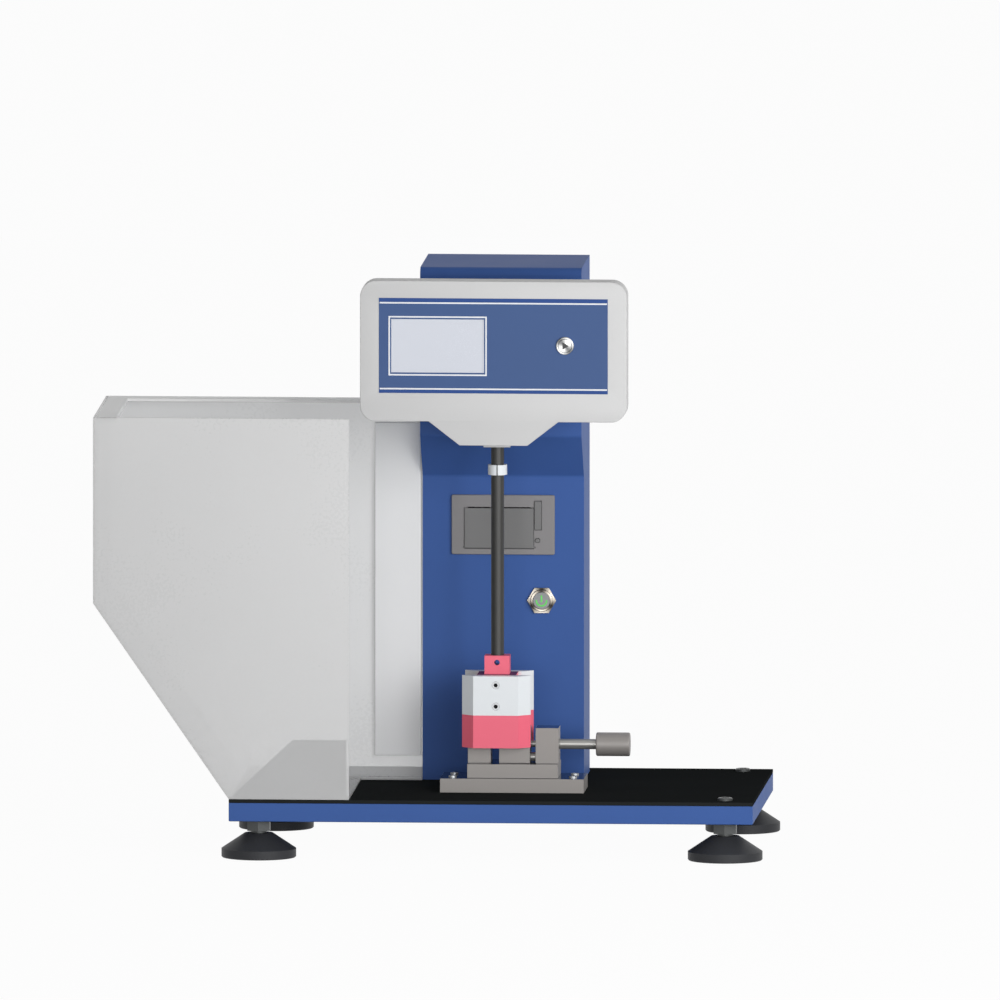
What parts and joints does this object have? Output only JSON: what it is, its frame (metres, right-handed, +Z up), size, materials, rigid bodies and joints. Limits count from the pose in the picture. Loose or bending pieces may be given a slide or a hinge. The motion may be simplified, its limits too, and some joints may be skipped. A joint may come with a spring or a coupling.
{
  "type": "pendulum impact tester",
  "caption": "Bench pendulum impact tester: swinging hammer on a column with a display, specimen vise, printer, buttons, clear catch guard and levelling feet.",
  "frame": {"origin": "on the bench plane, at the middle of the whole outline in X and Y", "axes": "+X to the operator's right, +Y away from the operator, +Z up"},
  "size_m": [0.7164, 0.375, 0.6195],
  "materials": {
    "blue_paint": "satin, lightly textured",
    "side_blue_paint": "satin, lightly textured",
    "black_plate": "satin black",
    "vise_steel": "ground",
    "dark_steel": "blackened",
    "bright_steel": "turned",
    "screw_steel": "machined",
    "foot_grey": "moulded",
    "display_white": "satin",
    "printer_grey": "moulded",
    "printer_dark": "moulded",
    "hammer_white": "satin",
    "hammer_pink": "satin",
    "guard_clear": "clear, slightly grey sheet",
    "guard_dark": "satin",
    "guard_bar": "anodised",
    "screen_glass": "glossy",
    "board_green": "lacquered",
    "supply_metal": "sheet",
    "black_plastic": "moulded",
    "paper_white": "paper",
    "roller_rubber": "matt",
    "cap_steel": "polished"
  },
  "bodies": {
    "frame": {"base_slab": "blue_paint", "base_top_plate": "black_plate", "cabinet_shell": "blue_paint", "cabinet_back_cover": "blue_paint", "back_cover_screws": "screw_steel", "power_supply": "supply_metal", "power_inlet": "black_plastic", "pivot_backing_plate": "dark_steel", "hub_spindle": "bright_steel", "spindle_fasteners": "screw_steel", "bearing_inner_rings": "bright_steel", "angle_reader": "black_plastic", "release_solenoid": "dark_steel", "display_rear_case": "display_white", "display_front_plate": "display_white", "screen_module": "screen_glass", "control_board": "board_green", "impact_button_housing": "bright_steel", "printer_housing": "printer_grey", "power_button_housing": "bright_steel", "vise_plate": "vise_steel", "vise_plate_screws": "screw_steel", "vise_block": "vise_steel", "fixed_jaw": "vise_steel", "screw_pillar": "vise_steel", "guard_front_panel": "guard_clear", "guard_back_panel": "guard_clear", "guard_side_sheet": "guard_clear", "guard_top_rim": "guard_clear", "guard_gusset": "guard_dark", "guard_mounting_bar": "guard_bar"},
    "pendulum": {"pendulum_hub": "display_white", "bearing_outer_rings": "bright_steel", "angle_disc": "black_plastic", "pendulum_rod": "dark_steel", "catch_collar": "hammer_white", "hammer_core": "hammer_pink", "hammer_weights": "hammer_white", "hammer_screws": "screw_steel", "striking_edge": "bright_steel"},
    "release_plunger": {"release_plunger": "bright_steel"},
    "impact_button": {"impact_button_cap": "cap_steel"},
    "power_button": {"power_button_cap": "cap_steel"},
    "feed_button": {"feed_button": "printer_dark"},
    "printer_latch": {"printer_latch": "printer_dark"},
    "printer_door": {"printer_door": "printer_dark"},
    "platen": {"platen_roller": "roller_rubber"},
    "paper_roll": {"paper_roll": "paper_white"},
    "moving_jaw": {"moving_jaw": "vise_steel", "jaw_guide_rod": "bright_steel"},
    "clamp_screw": {"clamp_screw": "bright_steel", "clamp_knob": "vise_steel"},
    "foot_pad_front_left": {"foot_pad_front_left": "foot_grey"},
    "foot_stud_front_left": {"foot_stud_front_left": "bright_steel"},
    "foot_pad_front_right": {"foot_pad_front_right": "foot_grey"},
    "foot_stud_front_right": {"foot_stud_front_right": "bright_steel"},
    "foot_pad_back_left": {"foot_pad_back_left": "foot_grey"},
    "foot_stud_back_left": {"foot_stud_back_left": "bright_steel"},
    "foot_pad_back_right": {"foot_pad_back_right": "foot_grey"},
    "foot_stud_back_right": {"foot_stud_back_right": "bright_steel"}
  },
  "joints": [
    {"name": "pendulum_swing", "type": "hinge", "parent": "frame", "child": "pendulum", "pos_m": [0.06819, -0.0544, 0.489], "axis": [0, -1, 0], "range_deg": [-150, 150]},
    {"name": "release_plunger_slide", "type": "slide", "parent": "frame", "child": "release_plunger", "axis": [0, -1, 0], "range_m": [0, 0.026], "stiffness_N_per_m": 60, "springref_m": -0.01},
    {"name": "impact_button_press", "type": "slide", "parent": "frame", "child": "impact_button", "axis": [0, 1, 0], "range_m": [0, 0.002], "stiffness_N_per_m": 500, "springref_m": -0.001},
    {"name": "power_button_press", "type": "slide", "parent": "frame", "child": "power_button", "axis": [0, 1, 0], "range_m": [0, 0.002], "stiffness_N_per_m": 500, "springref_m": -0.001},
    {"name": "feed_button_press", "type": "slide", "parent": "frame", "child": "feed_button", "axis": [0, 1, 0], "range_m": [0, 0.0012], "stiffness_N_per_m": 500, "springref_m": -0.001},
    {"name": "printer_latch_press", "type": "slide", "parent": "frame", "child": "printer_latch", "axis": [0, 1, 0], "range_m": [0, 0.0012], "stiffness_N_per_m": 500, "springref_m": -0.001},
    {"name": "printer_door_hinge", "type": "hinge", "parent": "frame", "child": "printer_door", "pos_m": [0.06399, 0.0379, 0.3148], "axis": [1, 0, 0], "range_deg": [0, 80]},
    {"name": "platen_spin", "type": "hinge", "parent": "printer_door", "child": "platen", "pos_m": [0.06399, 0.046, 0.3515], "axis": [1, 0, 0], "continuous": true},
    {"name": "paper_roll_spin", "type": "hinge", "parent": "frame", "child": "paper_roll", "pos_m": [0.06399, 0.074, 0.3361], "axis": [1, 0, 0], "continuous": true},
    {"name": "jaw_slide", "type": "slide", "parent": "frame", "child": "moving_jaw", "axis": [1, 0, 0], "range_m": [-0.0084, 0.0055]},
    {"name": "screw_turn", "type": "hinge", "parent": "moving_jaw", "child": "clamp_screw", "pos_m": [0.11819, -0.0544, 0.1136], "axis": [1, 0, 0], "range_deg": [-2017, 1321]},
    {"name": "foot_travel_front_left", "type": "slide", "parent": "frame", "child": "foot_pad_front_left", "axis": [0, 0, 1], "range_m": [-0.01, 0]},
    {"name": "foot_turn_front_left", "type": "hinge", "parent": "foot_pad_front_left", "child": "foot_stud_front_left", "pos_m": [-0.18181, -0.1475, 0.05], "axis": [0, 0, 1], "range_deg": [-1801, 0]},
    {"name": "foot_travel_front_right", "type": "slide", "parent": "frame", "child": "foot_pad_front_right", "axis": [0, 0, 1], "range_m": [-0.01, 0]},
    {"name": "foot_turn_front_right", "type": "hinge", "parent": "foot_pad_front_right", "child": "foot_stud_front_right", "pos_m": [0.31819, -0.1475, 0.05], "axis": [0, 0, 1], "range_deg": [-1801, 0]},
    {"name": "foot_travel_back_left", "type": "slide", "parent": "frame", "child": "foot_pad_back_left", "axis": [0, 0, 1], "range_m": [-0.01, 0]},
    {"name": "foot_turn_back_left", "type": "hinge", "parent": "foot_pad_back_left", "child": "foot_stud_back_left", "pos_m": [-0.18181, 0.1475, 0.05], "axis": [0, 0, 1], "range_deg": [-1801, 0]},
    {"name": "foot_travel_back_right", "type": "slide", "parent": "frame", "child": "foot_pad_back_right", "axis": [0, 0, 1], "range_m": [-0.01, 0]},
    {"name": "foot_turn_back_right", "type": "hinge", "parent": "foot_pad_back_right", "child": "foot_stud_back_right", "pos_m": [0.31819, 0.1475, 0.05], "axis": [0, 0, 1], "range_deg": [-1801, 0]}
  ],
  "couplings": [
    {"joint": "screw_turn", "follows": "jaw_slide", "rad_per_m": 4188.8},
    {"joint": "foot_turn_front_left", "follows": "foot_travel_front_left", "rad_per_m": 3141.6},
    {"joint": "foot_turn_front_right", "follows": "foot_travel_front_right", "rad_per_m": 3141.6},
    {"joint": "foot_turn_back_left", "follows": "foot_travel_back_left", "rad_per_m": 3141.6},
    {"joint": "foot_turn_back_right", "follows": "foot_travel_back_right", "rad_per_m": 3141.6}
  ]
}
